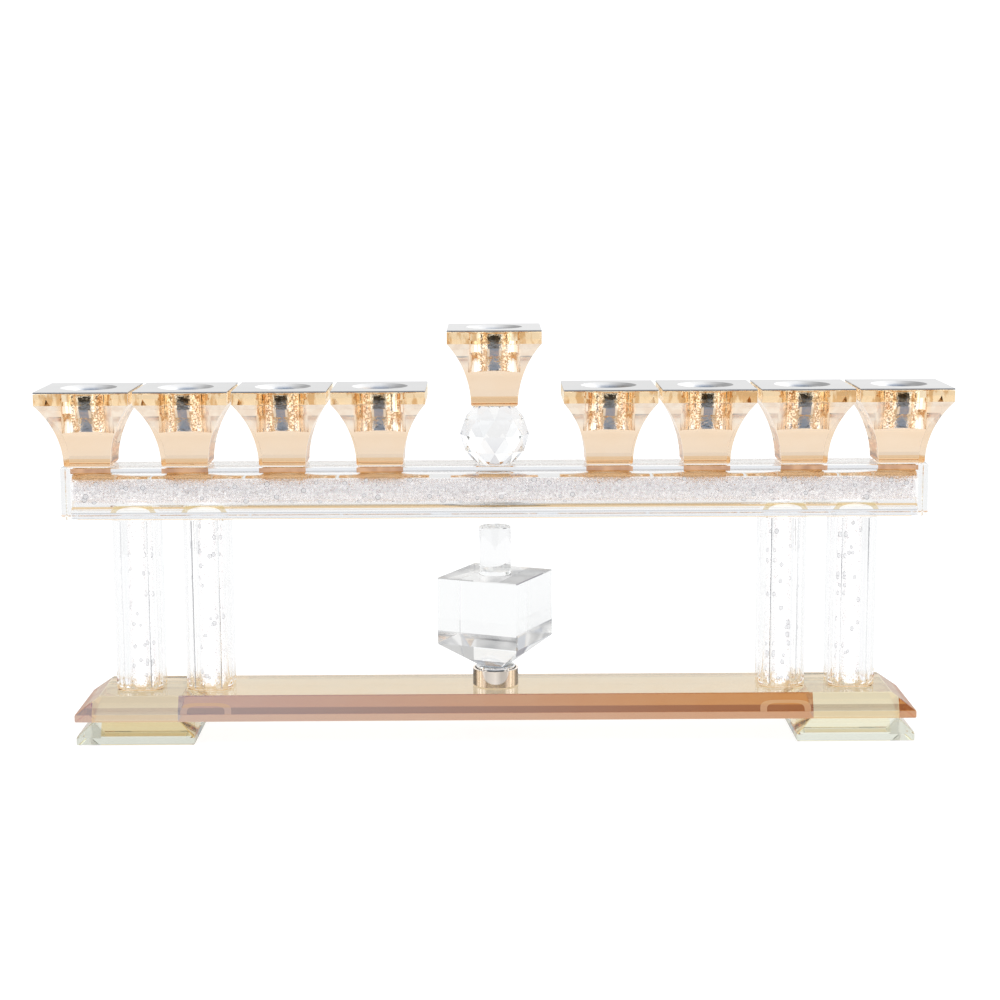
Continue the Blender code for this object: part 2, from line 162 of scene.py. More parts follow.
class Term:
    """A number flowing through a node tree, so that masks can be written as arithmetic."""

    def __init__(self, tree, socket):
        self.tree = tree
        self.socket = socket

    def apply(self, operation, other=None):
        node = self.tree.nodes.new("ShaderNodeMath")
        node.operation = operation
        self.tree.links.new(self.socket, node.inputs[0])
        if isinstance(other, Term):
            self.tree.links.new(other.socket, node.inputs[1])
        elif other is not None:
            node.inputs[1].default_value = other
        return Term(self.tree, node.outputs[0])

    def __add__(self, other):
        return self.apply("ADD", other)

    def __sub__(self, other):
        return self.apply("SUBTRACT", other)

    def __mul__(self, other):
        return self.apply("MULTIPLY", other)

    def __truediv__(self, other):
        return self.apply("DIVIDE", other)

    def __gt__(self, other):
        return self.apply("GREATER_THAN", other)

    def __lt__(self, other):
        return self.apply("LESS_THAN", other)

    def __abs__(self):
        return self.apply("ABSOLUTE")

    def larger(self, other):
        return self.apply("MAXIMUM", other)

    def smaller(self, other):
        return self.apply("MINIMUM", other)

    def smooth(self, low, high, to_low=0.0, to_high=1.0):
        node = self.tree.nodes.new("ShaderNodeMapRange")
        node.interpolation_type = "SMOOTHSTEP"
        self.tree.links.new(self.socket, node.inputs["Value"])
        limits = {"From Min": low, "From Max": high, "To Min": to_low, "To Max": to_high}
        for key, value in limits.items():
            node.inputs[key].default_value = value
        return Term(self.tree, node.outputs["Result"])


class Graph:
    """Node tree of one material or world, with short ways to add nodes."""

    def __init__(self, owner):
        owner.use_nodes = True
        self.owner = owner
        self.tree = owner.node_tree
        self.tree.nodes.clear()

    def node(self, kind, inputs=None, **settings):
        node = self.tree.nodes.new(kind)
        for key, value in settings.items():
            setattr(node, key, value)
        for key, value in (inputs or {}).items():
            self.put(value, node.inputs[key])
        return node

    def put(self, value, socket):
        if isinstance(value, Term):
            value = value.socket
        if isinstance(value, bpy.types.NodeSocket):
            self.tree.links.new(value, socket)
        else:
            socket.default_value = (*value, 1.0) if socket.type == "RGBA" else value

    def term(self, socket):
        return Term(self.tree, socket)

    def coords(self):
        """Place in the rest position."""
        return self.node("ShaderNodeTexCoord").outputs["Object"]

    def emission(self, colour, strength=1.0):
        return self.node("ShaderNodeEmission", {"Color": colour, "Strength": strength}).outputs[0]

    def glass(self, colour, roughness=0.0):
        inputs = {"Color": colour, "Roughness": roughness, "IOR": CRYSTAL_IOR}
        return self.node("ShaderNodeBsdfGlass", inputs).outputs[0]

    def glowing(self, body, colour, strength):
        """A diffuse body that also gives off light of its own."""
        both = self.node("ShaderNodeAddShader")
        self.put(self.node("ShaderNodeBsdfDiffuse", {"Color": body}).outputs[0], both.inputs[0])
        self.put(self.emission(colour, strength), both.inputs[1])
        return both.outputs[0]

    def terms(self, vector):
        split = self.node("ShaderNodeSeparateXYZ", {"Vector": vector})
        return [self.term(split.outputs[axis]) for axis in "XYZ"]

    def noise(self, vector, scale, detail=2.0):
        node = self.node("ShaderNodeTexNoise", {"Vector": vector, "Scale": scale, "Detail": detail})
        return self.term(node.outputs["Fac"])

    def stretched(self, vector, z_scale):
        """Coordinates whose patterns run long along Z."""
        return self.node("ShaderNodeMapping", {"Vector": vector, "Scale": (1.0, 1.0, z_scale)}).outputs[0]

    def sideways(self, kind):
        """How far a surface's normal points to the camera's right, from -1 to 1."""
        normal = self.node("ShaderNodeNewGeometry").outputs[kind]
        seen = self.node("ShaderNodeVectorTransform", {"Vector": normal}, vector_type="NORMAL",
                         convert_from="WORLD", convert_to="CAMERA")
        return self.terms(seen.outputs[0])[0]

    def mix(self, share, first, second, blend="MIX"):
        node = self.node("ShaderNodeMix", data_type="RGBA", blend_type=blend)
        self.put(share, node.inputs[0])
        self.put(first, node.inputs[6])
        self.put(second, node.inputs[7])
        return node.outputs[2]

    def multiply(self, first, second):
        return self.mix(1.0, first, second, "MULTIPLY")

    def mix_shader(self, share, first, second):
        node = self.node("ShaderNodeMixShader")
        self.put(share, node.inputs[0])
        self.put(first, node.inputs[1])
        self.put(second, node.inputs[2])
        return node.outputs[0]

    def finish(self, shader, kind="ShaderNodeOutputMaterial"):
        output = self.node(kind)
        self.put(shader, output.inputs["Surface"])
        return self.owner


class Spot:
    """Where a surface is being shaded: its place in the rest position and the size of its normal's parts."""

    def __init__(self, graph, geometry):
        self.coords = graph.coords()
        self.x, self.y, self.z = graph.terms(self.coords)
        self.nx, self.ny, self.nz = [abs(part) for part in graph.terms(geometry.outputs["True Normal"])]


def new_graph(name):
    return Graph(bpy.data.materials.new(name))


# --- glued faces and coloured light

def band(value, *ranges):
    """1 where the value lies in one of the (low, high) ranges."""
    parts = [(value > low) * (value < high) for low, high in ranges]
    return sum(parts[1:], parts[0])


def from_axis(spot):
    """Squared distance from the upright axis of the dreidel and the middle cup."""
    return spot.x * spot.x + spot.y * spot.y


def from_column(spot):
    """Distance along X from the middle of the nearest column."""
    return abs(abs(abs(spot.x) - COLUMN_PAIR_X) - COLUMN_PAIR_HALF)


def from_row(spot):
    """Distances along X from the inner end of a row of four cups and from the middle of its nearest cup."""
    along = abs(spot.x) - (CUP_X[0] - CUP_PITCH / 2)
    return along, along.apply("FLOORED_MODULO", CUP_PITCH) - CUP_PITCH / 2


def over_columns(spot):
    """1 over the glued end of a column: its square with flattened corners, less the bore."""
    across = from_column(spot)
    depth = abs(spot.y)
    inside = across.larger(depth) < COLUMN_HALF - GROUND_EDGE
    corners = (across + depth) < 2 * COLUMN_HALF - COLUMN_CORNER
    solid = (across * across + depth * depth) > COLUMN_BORE ** 2
    return inside * corners * solid


def over_feet(spot):
    """1 along the stretch of X that lies over the flat top of a foot."""
    return abs(abs(spot.x) - FOOT_X) < FOOT_TOP_HALF_X


def base_glued(graph, spot):
    below = over_feet(spot) * (abs(spot.y) < FOOT_TOP_HALF_Y) * (spot.z < FOOT_TOP + GAP)
    above = over_columns(spot) * (spot.z > BASE_TOP - GAP)
    return (spot.nz > 0.9) * below.larger(above)


def foot_glued(graph, spot):
    return (spot.nz > 0.95) * (spot.z > FOOT_TOP - GAP)


def cup_glued(graph, spot):
    return (spot.nz > 0.95) * (spot.z < BEAM_TOP + GAP)


def shamash_glued(graph, spot):
    return (spot.nz > 0.95) * (spot.z < SHAMASH_FOOT + GAP) * (from_axis(spot) < BALL_FLAT ** 2)


def outside_beam_bore(spot):
    up = spot.z - BEAM_MIDDLE
    return (spot.y * spot.y + up * up) > BEAM_BORE ** 2


def bar_glued(graph, spot):
    """Under the row's cups and the ball, over the columns, and round the bore at both ends."""
    along, from_cup = from_row(spot)
    row = (abs(from_cup).larger(abs(spot.y)) < CUP_FLAT_HALF) * (along > 0.0)
    ball = from_axis(spot) < BALL_FLAT ** 2
    above = row.larger(ball) * (spot.z > BEAM_TOP - GAP)
    below = over_columns(spot) * (spot.z < COLUMN_TOP + GAP)
    return ((spot.nz > 0.95) * above.larger(below)).larger((spot.nx > 0.95) * outside_beam_bore(spot))


def cap_glued(graph, spot):
    return (spot.nx > 0.95) * (abs(spot.x) < BAR_END + 0.001) * outside_beam_bore(spot)


def dreidel_glued(graph, spot):
    disc = from_axis(spot) < (STEM_RADIUS - GAP) ** 2
    return (spot.nz > 0.95) * (abs(spot.z - DREIDEL_TOP) < 0.001) * disc


def dreidel_inside(graph, spot):
    """Seen from within, the facets of the point throw back the grey of the room."""
    cloud = graph.noise(spot.coords, 55.0, 1.0)
    tone = graph.mix(cloud.smooth(0.4, 0.6), (0.22, 0.22, 0.23), (0.72, 0.71, 0.70))
    return band(spot.nz, (0.3, 0.95)) * 0.65, tone


def dreidel_greys(graph, spot):
    """Grey reflections on the dreidel: across two corners of its top face, on one end of its point and beside
    the corner that faces the front at rest."""
    face = (spot.nz > 0.95) * (spot.z > DREIDEL_TOP - 0.001)
    right = (spot.x - spot.y * 0.4).smooth(0.0095, 0.0100) * 0.5
    left = (spot.x * -1.0 + spot.y * 0.7).smooth(0.0132, 0.0136) * 0.35
    facet = band(spot.nz, (0.3, 0.95))
    end = facet * (spot.x < -0.0095) * 0.62 + facet * 0.10
    wedge = facet * (spot.x > 0.0088) * (spot.x < (spot.z * 0.25 + 0.0036))
    wedge = wedge * (spot.y < 0.0) * (spot.z > DREIDEL_WEDGE_LOW)
    tone = graph.mix(wedge, (0.45, 0.45, 0.45), (0.22, 0.21, 0.24))
    return (face * (right + left) + end).larger(wedge * 0.70), tone


def from_cup_centre(spot):
    """Distance along X from the middle of the nearest cup, positive away from the middle of the row."""
    along, from_cup = from_row(spot)
    return from_cup * (along > 0.0) + abs(spot.x) * (abs(spot.x) < CUP_HEAD_HALF + 0.001)


def across_cup(spot, lean=0.0):
    """Distance from the middle line of the cup's side that is being shaded.  lean moves that line inwards on
    the front and back of the outer cups."""
    faces_front = spot.ny > spot.nx
    return (from_cup_centre(spot) + abs(spot.x) * lean) * faces_front + abs(spot.y) * (faces_front < 0.5)


def foot_band(foot_z, height):
    """Light that leaves a cup through its lowest part comes out deeper in colour."""
    def leaving(graph, spot):
        share = spot.z.smooth(foot_z + height - LINE_BLUR, foot_z + height + LINE_BLUR, 1.0, 0.0)
        return graph.mix(share, WHITE, CUP_BAND_TINT)
    return leaving


def cup_faces(foot_z):
    """Amber wash on a cup's outer faces, yellower on the sides of the head, none in the socket hole."""
    def entering(graph, spot):
        across = from_cup_centre(spot)
        outer = (across * across + spot.y * spot.y) > CUP_OUTSIDE_FROM ** 2
        outer = outer.larger(spot.z < foot_z + CUP_HEIGHT - SOCKET_DEPTH - PLATE_THICKNESS - 2 * GAP)
        streaks = graph.noise(graph.stretched(spot.coords, 0.35), 330.0, 3.0).smooth(0.48, 0.62)
        head = graph.mix(streaks, CUP_HEAD_PALE, CUP_HEAD_DEEP)
        waist = spot.z.smooth(foot_z + 0.012, foot_z + 0.018)
        hollow = graph.mix(waist, CUP_FACE_TINT, CUP_WAIST_TINT)
        wash = graph.mix(spot.z > foot_z + CUP_HOLLOW_HEIGHT, hollow, head)
        return graph.mix(outer, WHITE, wash)
    return entering


def cup_bloom(foot_z):
    """The steep top of each hollow throws back a pale bloom; to a camera that it faces, its middle shows the
    waist of the liner's dark streak."""
    def veil(graph, spot):
        height = spot.z - foot_z
        steep = (height < CUP_HOLLOW_HEIGHT) * (spot.nz > 0.2)
        beside = abs(across_cup(spot)).smooth(0.0085, 0.0115)
        bloom = height.smooth(0.013, 0.020) * steep * beside * 0.55
        streaks = graph.noise(spot.coords, 260.0, 3.0)
        tone = graph.mix(streaks.smooth(0.35, 0.65), (0.94, 0.90, 0.83), (0.84, 0.74, 0.66))
        across = abs(across_cup(spot, CUP_WAIST_LEAN))
        facing = abs(graph.sideways("True Normal")).smooth(0.20, 0.35, 1.0, 0.0)
        waist = steep * band(height, CUP_WAIST) * (across < 0.0030) * facing
        liner_tone = graph.mix(across < 0.0020, (0.86, 0.72, 0.56), (0.27, 0.30, 0.36))
        return bloom + waist * 0.72, graph.mix(waist, tone, liner_tone)
    return veil


def base_sheen(graph, spot):
    """Sheen on the bevel and edges of the base: mauve to the left, brown to the right, with a darker line at
    mid height and the mirrored arches of two columns' feet; pale over the feet of the stand."""
    along = spot.x.smooth(-0.17, 0.17)
    line = spot.z.smooth(BASE_EDGE_TOP, BASE_EDGE_TOP + LINE_BLUR)
    line = line * spot.z.smooth(BASE_LINE_TOP, BASE_LINE_TOP + LINE_BLUR, 1.0, 0.0)

    def three_tones(*pairs):
        """Colours of the bevel, the line and the upright edge, each a (left, right) pair."""
        bevel, middle, upright = [graph.mix(along, left, right) for left, right in pairs]
        return graph.mix(line, graph.mix(spot.z < BASE_EDGE_TOP, bevel, upright), middle)

    tone = three_tones(((0.375, 0.327, 0.478), (0.451, 0.110, 0.010)),
                       ((0.28, 0.26, 0.32), (0.24, 0.04, 0.01)),
                       ((0.547, 0.476, 0.548), (0.554, 0.282, 0.224)))
    pale = three_tones(((0.73, 0.65, 0.51), (0.84, 0.78, 0.58)),
                       ((0.56, 0.46, 0.39), (0.52, 0.44, 0.32)),
                       ((0.74, 0.58, 0.42), (0.82, 0.67, 0.42)))
    half_width, height = BASE_ARCH
    run = (abs(spot.x) - COLUMN_X[2]) / half_width
    rise = (spot.z - BASE_EDGE_TOP) / height
    out = (run * run * run * run + rise * rise * rise * rise) * (spot.ny > 0.3) * (rise > 0.0)
    arch = graph.mix(along, (0.47, 0.38, 0.40), (0.56, 0.29, 0.17))
    tone = graph.mix(band(out, (0.30, 1.0)), tone, arch)
    end = (spot.nx > 0.3) * (spot.nz > 0.3)
    over_foot = over_feet(spot) * (spot.ny > 0.3)
    tone = graph.mix(end, tone, (0.55, 0.35, 0.27))
    tone = graph.mix(over_foot, tone, pale)
    share = (line * 0.25 + 0.52 - end * 0.10) * (over_foot < 0.5) + over_foot * 0.72
    return share * (spot.nz < 0.95), tone


def foot_gold_reflection(graph, spot):
    """Painted reflection and shade: the long slopes of the feet pass the gold of the base, more on the left
    than on the right, and their faces other than the slopes and the top are painted darker on the left foot
    than on the right.
    """
    slope = (spot.ny > 0.3) * (spot.nz > 0.3) * ((abs(spot.x) - FOOT_X) < FOOT_GOLD_REFLECTION_END)
    base_gold_reflection = graph.mix(spot.x > 0.0, (0.78, 0.66, 0.44), (0.90, 0.87, 0.75))
    foot_shade_tint = graph.mix(spot.x > 0.0, (0.80, 0.81, 0.80), (0.88, 0.89, 0.88))
    return graph.mix(spot.nz > 0.95, graph.mix(slope, foot_shade_tint, base_gold_reflection), WHITE)


def bore_gold_reflection(graph, spot):
    """Painted reflection: the lowest strip of the beam's bore picks up the gold of the base."""
    return graph.mix(band(spot.z - BEAM_MIDDLE, BORE_GOLD_REFLECTION), WHITE, (0.90, 0.70, 0.46))


def bar_lines(graph, spot):
    """Fine reflections along the beam: grey and blue-grey lines, golden arcs over the columns, amber under
    the cups, and a grey veil on the bare top."""
    upright = spot.ny > 0.9
    up = spot.z - COLUMN_TOP
    along, from_cup = from_row(spot)
    between = (abs(from_cup) > CUP_FOOT_HALF).larger(along < 0.0)
    dark = band(up, *BEAM_GREY_LINES) + band(up, BEAM_GREY_BETWEEN) * between
    blue = band(up, BEAM_BLUE) + band(up, BEAM_BLUE_BETWEEN) * between
    amber = band(up, BEAM_AMBER) * (between < 0.5)
    pale = up < BEAM_PALE_TOP
    tone = graph.mix(dark, (0.58, 0.62, 0.70), (0.30, 0.30, 0.32))
    cloud = graph.noise(spot.coords, 110.0).smooth(0.35, 0.65)
    amber_tone = graph.mix(cloud, (0.42, 0.15, 0.02), (0.68, 0.33, 0.12))
    tone = graph.mix(amber, tone, amber_tone)
    half_width, height = BEAM_ARCH
    rise = (up - BEAM_ARC[0]) / height
    run = from_column(spot) / half_width
    arch = (rise * rise + run * run) < 1.0
    above_column = band(up, BEAM_ARC) * (from_column(spot) < (up * -0.6 + 0.0118))
    arc_tone = graph.mix(arch, (0.72, 0.56, 0.27), (1.0, 1.0, 0.98))
    tone = graph.mix(above_column, tone, arc_tone)
    top = (spot.nz > 0.9) * (up > BEAM_TOP_EDGE) * between * (from_axis(spot) > BALL_FLAT ** 2)
    tone = graph.mix(top, tone, (0.60, 0.58, 0.54))
    share = upright * (dark * 0.50 + blue * 0.32 + pale * 0.20 + above_column * 0.60 + amber * 0.80)
    return share + top * 0.38, tone


def column_reflections(graph, spot):
    """Painted reflections: thin grey lines where the flats of a column meet its corners, and flecks of the
    base's gold at its foot.
    """
    edge = COLUMN_HALF - COLUMN_CORNER - 0.0005
    line = (spot.ny > 0.9) * (from_column(spot) > edge) + (spot.nx > 0.9) * (abs(spot.y) > edge)
    grey = line * graph.noise(graph.stretched(spot.coords, 0.12), 160.0).smooth(0.35, 0.65, 0.12, 0.70)
    low = spot.z.smooth(BASE_TOP, BASE_TOP + 0.009, 0.75, 0.0)
    reflected_flecks = graph.noise(spot.coords, 420.0).smooth(0.50, 0.58) * low
    base_gold_reflection = (reflected_flecks + (spot.z < BASE_TOP + 0.0009) * 0.6).smaller(0.8) * (spot.nz < 0.9)
    tone = graph.mix(base_gold_reflection > grey, (0.30, 0.30, 0.32), (0.74, 0.54, 0.32))
    return grey.larger(base_gold_reflection), tone


def ball_facet_reflections(graph, spot):
    """Painted reflections and shade: facets of the ball catch different greys, the lower ones more."""
    normal = graph.node("ShaderNodeNewGeometry").outputs["True Normal"]
    picked = graph.noise(normal, 4.5, 0.0).smooth(0.48, 0.62)
    low = spot.z.smooth(SHAMASH_FOOT - 0.024, SHAMASH_FOOT - 0.004, 0.42, 0.12)
    warm = graph.noise(normal, 2.5, 0.0)
    tone = graph.mix(warm.smooth(0.5, 0.6), (0.42, 0.42, 0.47), (0.60, 0.50, 0.45))
    return picked * low, tone


# --- materials

def glass(name, tint, glued=None, entering=None, leaving=None, veil=None, inner=None,
          deepest=DEEPEST_BOUNCE, last_light=None):
    """Polished crystal.  glued, entering, leaving, veil and inner are functions of (graph, spot).

    glued gives 1 where a face is glued to the next piece of crystal, entering and leaving tint the light that
    goes in or out, veil gives the share and colour of the sheen over a face, and inner the same for a face
    that is seen from within.  Past the deepest bounce the light counts as last_light.
    """
    graph = new_graph(name)
    geometry = graph.node("ShaderNodeNewGeometry")
    path = graph.node("ShaderNodeLightPath")
    spot = Spot(graph, geometry)
    length = graph.term(path.outputs["Ray Length"]) / TINT_LENGTH
    cords = graph.noise(spot.coords, 90.0).smooth(0.3, 0.7, 0.94, 1.06)
    depth = (length * cords).smaller(DEEPEST_TINT)
    inside = graph.node("ShaderNodeGamma", {"Color": tint, "Gamma": depth}).outputs[0]
    if leaving:
        inside = graph.multiply(inside, leaving(graph, spot))
    outside = entering(graph, spot) if entering else WHITE
    backfacing = graph.term(geometry.outputs["Backfacing"])
    colour = graph.mix(backfacing, outside, inside)
    shader = graph.glass(colour)
    if glued:
        through = graph.node("ShaderNodeBsdfRefraction", {"Color": colour, "Roughness": 0.0, "IOR": 1.0})
        shader = graph.mix_shader(glued(graph, spot), shader, through.outputs[0])
    for layer, side in ((veil, backfacing < 0.5), (inner, backfacing > 0.5)):
        if layer:
            share, tone = layer(graph, spot)
            shader = graph.mix_shader(share * side, shader, graph.emission(tone))
    glow = last_light or tuple(0.9 * part for part in tint)
    deep = graph.term(path.outputs["Ray Depth"]) > deepest
    return graph.finish(graph.mix_shader(deep, shader, graph.emission(glow)))


def metal(name, colour, worn, roughness, smudge=0.05, dents=0.0, metallic=1.0, grazing=1.0, shades=(),
          sparkle=0.0):
    """Plated metal; faint wear shifts its colour towards worn and its roughness by smudge.

    grazing is how bright it stays when seen at a low angle.  shades are (sideways part of the normal,
    brightness) pairs from -1 (left) to 1 (right), for the reflections of the studio's panels.  sparkle lights
    small specks on the parts that do not face the camera.
    """
    graph = new_graph(name)
    coords = graph.coords()
    wear = graph.noise(coords, 60.0, 4.0)
    tone = graph.mix(wear.smooth(0.35, 0.75), colour, worn)
    aside = graph.sideways("Normal")
    if shades:
        ramp = graph.node("ShaderNodeValToRGB", {"Fac": aside * 0.5 + 0.5})
        stops = ramp.color_ramp.elements
        while len(stops) < len(shades):
            stops.new(0.5)
        for stop, (side, brightness) in zip(stops, shades):
            stop.position = side / 2 + 0.5
            stop.color = (brightness, brightness, brightness, 1.0)
        tone = graph.multiply(tone, ramp.outputs[0])
    rough = wear.smooth(0.3, 0.8, roughness, roughness + smudge)
    inputs = {"Base Color": tone, "Roughness": rough, "Metallic": metallic, "Specular Tint": (grazing,) * 3}
    shader = graph.node("ShaderNodeBsdfPrincipled", inputs)
    if dents:
        height = graph.noise(coords, 800.0, 2.0)
        bump = graph.node("ShaderNodeBump", {"Height": height, "Strength": dents, "Distance": 0.0005})
        graph.put(bump.outputs["Normal"], shader.inputs["Normal"])
    if sparkle:
        specks = graph.noise(coords, SPECK_SCALE, 2.0).smooth(0.47, 0.57)
        graph.put((1.0, 0.93, 0.84), shader.inputs["Emission Color"])
        graph.put(specks * abs(aside).smooth(0.30, 0.40) * sparkle, shader.inputs["Emission Strength"])
    return graph.finish(shader.outputs[0])


def bead_core(name, light, dark, glow_strength):
    """Packed crystal grains, seen between the outer ones: pale, cloudy, with darker and brighter specks; the
    core glows in these colours, painted light in place of the light scattered through the pack.
    """
    graph = new_graph(name)
    coords = graph.coords()
    cells = graph.node("ShaderNodeTexVoronoi", {"Vector": coords, "Scale": 700.0})
    speck = graph.term(cells.outputs["Distance"])
    tone = graph.mix(speck.smooth(0.1, 0.8), light, dark)
    return graph.finish(graph.glowing(tone, tone, glow_strength))


def bead_glass(name, scattered_light):
    """Grains of cut crystal; after a few passes the light counts as scattered in the pack."""
    graph = new_graph(name)
    coords = graph.coords()
    shade = graph.noise(coords, 500.0)
    tone = graph.mix(shade.smooth(0.35, 0.65), (0.97, 0.96, 0.96), WHITE)
    deep = graph.term(graph.node("ShaderNodeLightPath").outputs["Ray Depth"]) > DEEPEST_IN_GRAINS
    return graph.finish(graph.mix_shader(deep, graph.glass(tone), graph.emission(scattered_light)))


def bubble(name, middle, rim):
    """Round bead among the grains, painted as a glow: clear in the middle, with a painted dark ring near its
    outline.
    """
    graph = new_graph(name)
    facing = graph.term(graph.node("ShaderNodeLayerWeight", {"Blend": 0.5}).outputs["Facing"])
    ring = facing.smooth(0.25, 0.60) * facing.smooth(0.78, 0.97, 1.0, 0.15)
    tone = graph.mix(ring, middle, rim)
    shine = graph.node("ShaderNodeBsdfGlossy", {"Color": WHITE, "Roughness": 0.05})
    return graph.finish(graph.mix_shader(0.12, graph.emission(tone, 0.92), shine.outputs[0]))


def ground_edge(name, colour):
    """Fine-ground edge: a pale line of scattered light, painted as a glow, slightly uneven along its length.
    """
    graph = new_graph(name)
    coords = graph.coords()
    uneven = graph.noise(coords, 300.0).smooth(0.3, 0.7, 0.85, 1.05)
    body = graph.glass(colour, 0.15)
    return graph.finish(graph.mix_shader(0.75, body, graph.emission(colour, uneven)))


# --- mesh helpers

def poured(bm, mesh):
    bm.to_mesh(mesh)
    bm.free()
    return mesh


def mesh_of(name, vertices, faces):
    mesh = bpy.data.meshes.new(name)
    mesh.from_pydata(vertices, [], faces)
    bm = bmesh.new()
    bm.from_mesh(mesh)
    bmesh.ops.recalc_face_normals(bm, faces=bm.faces)
    return poured(bm, mesh)


def turned(name, profile, steps, ring=False, start=0.0):
    """Solid turned from (radius, z) points that run down its outer side."""
    vertices = []
    loops = []
    for radius, z in profile:
        first = len(vertices)
        count = 1 if radius < 1e-7 else steps
        for i in range(count):
            angle = start + 2 * math.pi * i / steps
            vertices.append((radius * math.cos(angle), radius * math.sin(angle), z))
        loops.append([first + i % count for i in range(steps)])
    pairs = list(zip(loops, loops[1:]))
    if ring:
        pairs.append((loops[-1], loops[0]))
    faces = []
    for upper, lower in pairs:
        for i in range(steps):
            j = (i + 1) % steps
            face = (upper[i], lower[i], lower[j], upper[j])
            faces.append(tuple(dict.fromkeys(face)))
    return mesh_of(name, vertices, faces)


def arc(centre_r, centre_z, radius, start, end, steps):
    """Points (r, z) of an arc; angles in degrees from +r towards +z."""
    points = []
    for i in range(steps + 1):
        angle = math.radians(start + (end - start) * i / steps)
        points.append((centre_r + radius * math.cos(angle), centre_z + radius * math.sin(angle)))
    return points


def cylinder(name, radius, low, high, steps):
    return turned(name, [(0.0, high), (radius, high), (radius, low), (0.0, low)], steps)


def block(name, size_x, size_y, low, high):
    bm = bmesh.new()
    bmesh.ops.create_cube(bm, size=1.0)
    bmesh.ops.scale(bm, vec=(size_x, size_y, high - low), verts=bm.verts)
    bmesh.ops.translate(bm, vec=(0.0, 0.0, (low + high) / 2), verts=bm.verts)
    return poured(bm, bpy.data.meshes.new(name))


def chamfered(mesh, width, wanted):
    """Cuts a flat along the edges whose direction and middle pass the test."""
    bm = bmesh.new()
    bm.from_mesh(mesh)
    edges = []
    for edge in bm.edges:
        start, end = (vert.co for vert in edge.verts)
        if wanted((end - start).normalized(), (start + end) / 2):
            edges.append(edge)
    bmesh.ops.bevel(bm, geom=edges, offset=width, segments=1, affect="EDGES")
    return poured(bm, mesh)


def linked(name, data):
    obj = bpy.data.objects.new(name, data)
    bpy.context.scene.collection.objects.link(obj)
    return obj


def with_modifier(mesh, kind, **settings):
    """Mesh after one modifier; a tool mesh is passed as an object in the settings."""
    obj = linked(mesh.name, mesh)
    modifier = obj.modifiers.new(kind, kind)
    for key, value in settings.items():
        setattr(modifier, key, value)
    depsgraph = bpy.context.evaluated_depsgraph_get()
    result = bpy.data.meshes.new_from_object(obj.evaluated_get(depsgraph))
    bpy.data.objects.remove(obj, do_unlink=True)
    return result


def combined(mesh, tool, operation):
    other = linked(tool.name, tool)
    result = with_modifier(mesh, "BOOLEAN", operation=operation, object=other)
    bpy.data.objects.remove(other, do_unlink=True)
    return result


def ground(mesh, width, angle):
    return with_modifier(mesh, "BEVEL", width=width, segments=1, limit_method="ANGLE",
                         angle_limit=math.radians(angle))


def smooth(mesh, angle=25.0):
    mesh.shade_smooth()
    mesh.set_sharp_from_angle(angle=math.radians(angle))
    return mesh


def set_finishes(mesh, finishes):
    """Fills the material slots and keeps each face's slot number."""
    indices = [face.material_index for face in mesh.polygons]
    mesh.materials.clear()
    for finish in finishes:
        mesh.materials.append(finish)
    mesh.polygons.foreach_set("material_index", indices)


def show(name, mesh, node, body="stand"):
    """Puts a finished mesh in the place of a CAD node."""
    obj = linked(name, mesh)
    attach(obj, body)
    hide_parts(node)


def place(name, mesh, finishes, node, shift=(0.0, 0.0, 0.0), body="stand"):
    """Shows a finished copy of a mesh, moved by shift."""
    mesh = mesh.copy()
    mesh.transform(Matrix.Translation(shift))
    set_finishes(mesh, finishes)
    show(name, mesh, node, body)


# --- crystal pieces

def hollow_half_width(height):
    inset = CUP_HEAD_HALF - CUP_FOOT_HALF
    radius = (CUP_HOLLOW_HEIGHT ** 2 + inset ** 2) / (2 * inset)
    return CUP_FOOT_HALF + radius - math.sqrt(radius ** 2 - height ** 2)


def cup_mesh():
    """Square head over four hollow-ground sides, with the socket hole ground in from above."""
    top = CUP_HEIGHT - PLATE_THICKNESS - GAP
    steps = 28
    levels = [(CUP_HEAD_HALF, top)]
    for i in range(steps):
        height = CUP_HOLLOW_HEIGHT * (1 - i / steps)
        levels.append((hollow_half_width(height), height))
    levels += arc(CUP_FLAT_HALF, CUP_FOOT_ROUND + HALF_GAP, CUP_FOOT_ROUND, 0, -90, 6)
    profile = [(0.0, top)]
    profile += [(half * math.sqrt(2), height) for half, height in levels]
    profile.append((0.0, HALF_GAP))
    body = ground(turned("cup", profile, 4, start=math.pi / 4), GROUND_EDGE, 50)
    radius = SOCKET_RADIUS + PLATE_THICKNESS + GAP
    bend = SOCKET_RIM - radius
    slope = SOCKET_RIM - (CUP_HEIGHT - SOCKET_RIM + SOCKET_RADIUS) - bend * math.sqrt(2)
    over = top + 0.001
    floor = CUP_HEIGHT - SOCKET_DEPTH - PLATE_THICKNESS - GAP
    well = [(0.0, over), (slope + over, over), (radius, radius - slope), (radius, floor), (0.0, floor)]
    mesh = smooth(combined(body, turned("well", well, 72), "DIFFERENCE"))
    for face in mesh.polygons:
        between_sides = min(abs(face.normal.x), abs(face.normal.y)) > 0.4
        if between_sides and math.hypot(face.center.x, face.center.y) > CUP_EDGES_FROM:
            face.material_index = 1
    return mesh


